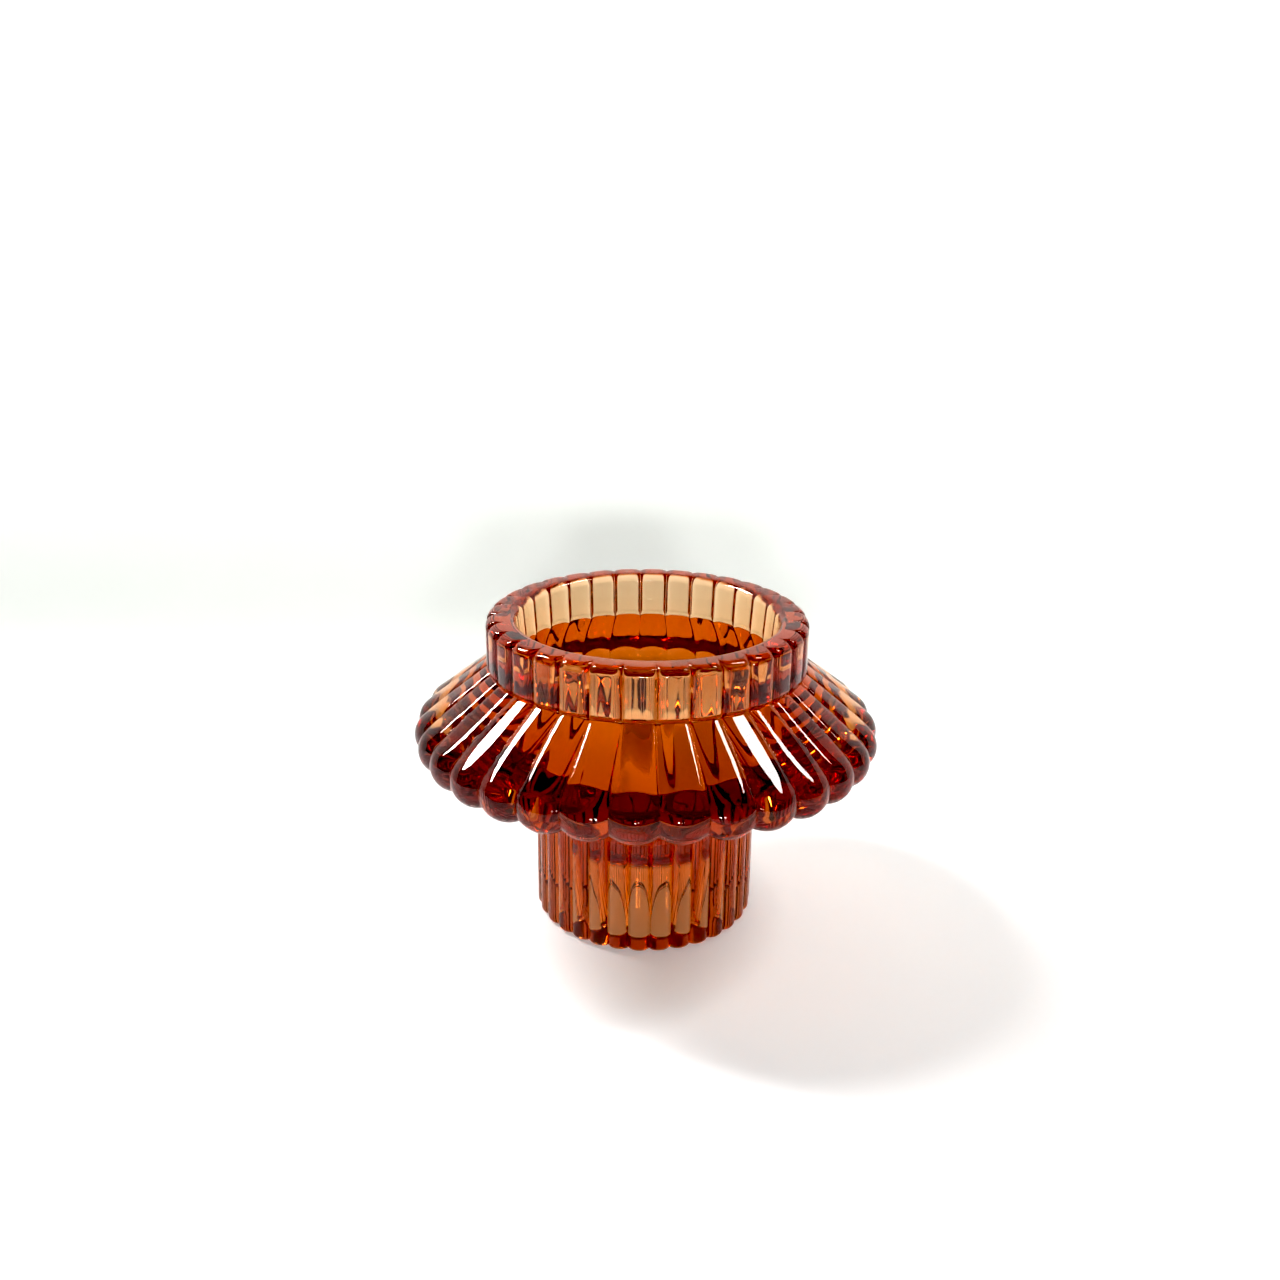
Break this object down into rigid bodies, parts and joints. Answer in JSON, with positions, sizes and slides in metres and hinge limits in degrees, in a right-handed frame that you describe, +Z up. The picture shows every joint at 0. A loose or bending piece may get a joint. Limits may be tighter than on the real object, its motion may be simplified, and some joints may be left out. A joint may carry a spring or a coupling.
{
  "type": "pressed glass candle holder",
  "caption": "One-piece ribbed amber glass candle holder: a wide well for a tealight on a fluted skirt and foot, and a socket for a dinner candle underneath.",
  "frame": {"origin": "centre of the foot's base, on the surface the holder stands on", "axes": "+Z up along the axis of revolution, out of the tealight well; -Y is the side that faces the viewer"},
  "size_m": [0.08, 0.08, 0.0546],
  "materials": {
    "amber_glass": "clear tinted pressed glass, fire-polished"
  },
  "bodies": {
    "root": {"glass_holder": "amber_glass"}
  },
  "joints": []
}
